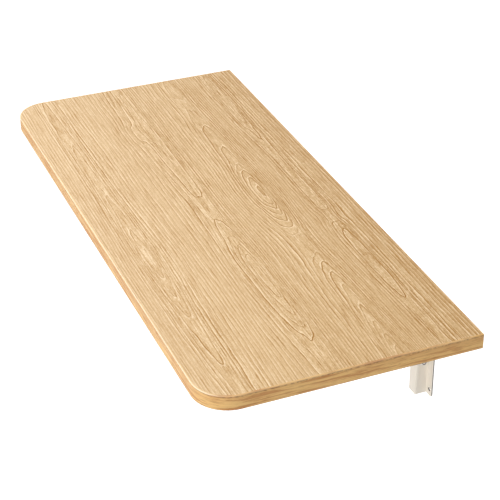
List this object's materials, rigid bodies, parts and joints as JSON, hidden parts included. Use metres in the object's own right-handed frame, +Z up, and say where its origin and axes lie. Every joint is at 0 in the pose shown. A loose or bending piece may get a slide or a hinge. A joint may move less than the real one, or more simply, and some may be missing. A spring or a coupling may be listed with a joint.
{
  "type": "wall mounted drop leaf table",
  "caption": "Wall mounted drop leaf table: an oak-look leaf with rounded front corners that folds down on white steel brackets with roller braces and spring catches.",
  "frame": {"origin": "middle of the outer wall holes of both brackets, on the wall's face", "axes": "+X to the right for someone facing the wall, +Y into the wall, +Z up; leaf raised for use"},
  "size_m": [0.8, 0.351, 0.1665],
  "materials": {
    "oak_laminate": "satin oak-print melamine",
    "oak_edging": "satin oak-print edge band",
    "particle_board": "raw particle board",
    "white_steel": "white powder coat",
    "zinc_steel": "zinc plated",
    "spring_steel": "bare spring steel",
    "nylon": "natural nylon"
  },
  "bodies": {
    "wall_side": {"wall_leg_left": "white_steel", "hinge_pin_left": "zinc_steel", "hinge_bushes_left": "nylon", "brace_pivot_left": "zinc_steel", "brace_washers_left": "nylon", "wall_leg_right": "white_steel", "hinge_pin_right": "zinc_steel", "hinge_bushes_right": "nylon", "brace_pivot_right": "zinc_steel", "brace_washers_right": "nylon"},
    "leaf": {"table_core": "particle_board", "top_laminate": "oak_laminate", "bottom_laminate": "oak_laminate", "edge_band_front": "oak_edging", "edge_band_back": "oak_edging", "arm_channel_left": "white_steel", "arm_screws_left": "zinc_steel", "catch_spring_left": "spring_steel", "arm_channel_right": "white_steel", "arm_screws_right": "zinc_steel", "catch_spring_right": "spring_steel"},
    "left_brace": {"brace_bar_outer_left": "white_steel", "brace_bar_inner_left": "white_steel", "brace_spacer_left": "zinc_steel", "brace_rivet_left": "zinc_steel", "roller_axle_left": "zinc_steel"},
    "left_roller": {"roller_left": "nylon"},
    "right_brace": {"brace_bar_outer_right": "white_steel", "brace_bar_inner_right": "white_steel", "brace_spacer_right": "zinc_steel", "brace_rivet_right": "zinc_steel", "roller_axle_right": "zinc_steel"},
    "right_roller": {"roller_right": "nylon"}
  },
  "joints": [
    {"name": "leaf_fold", "type": "hinge", "parent": "wall_side", "child": "leaf", "pos_m": [0, -0.009, 0.073], "axis": [1, 0, 0], "range_deg": [0, 90], "deforming": ["catch_spring_left", "catch_spring_right"]},
    {"name": "left_brace_swing", "type": "hinge", "parent": "wall_side", "child": "left_brace", "pos_m": [-0.268, -0.009, -0.01], "axis": [1, 0, 0], "range_deg": [0, 116]},
    {"name": "left_roller_spin", "type": "hinge", "parent": "left_brace", "child": "left_roller", "pos_m": [-0.268, -0.17874, 0.0777], "axis": [1, 0, 0], "continuous": true},
    {"name": "right_brace_swing", "type": "hinge", "parent": "wall_side", "child": "right_brace", "pos_m": [0.268, -0.009, -0.01], "axis": [1, 0, 0], "range_deg": [0, 116]},
    {"name": "right_roller_spin", "type": "hinge", "parent": "right_brace", "child": "right_roller", "pos_m": [0.268, -0.17874, 0.0777], "axis": [1, 0, 0], "continuous": true}
  ],
  "couplings": [
    {"joint": "left_brace_swing", "follows": "leaf_fold", "ratio": 1.2879},
    {"joint": "right_brace_swing", "follows": "leaf_fold", "ratio": 1.2879}
  ]
}
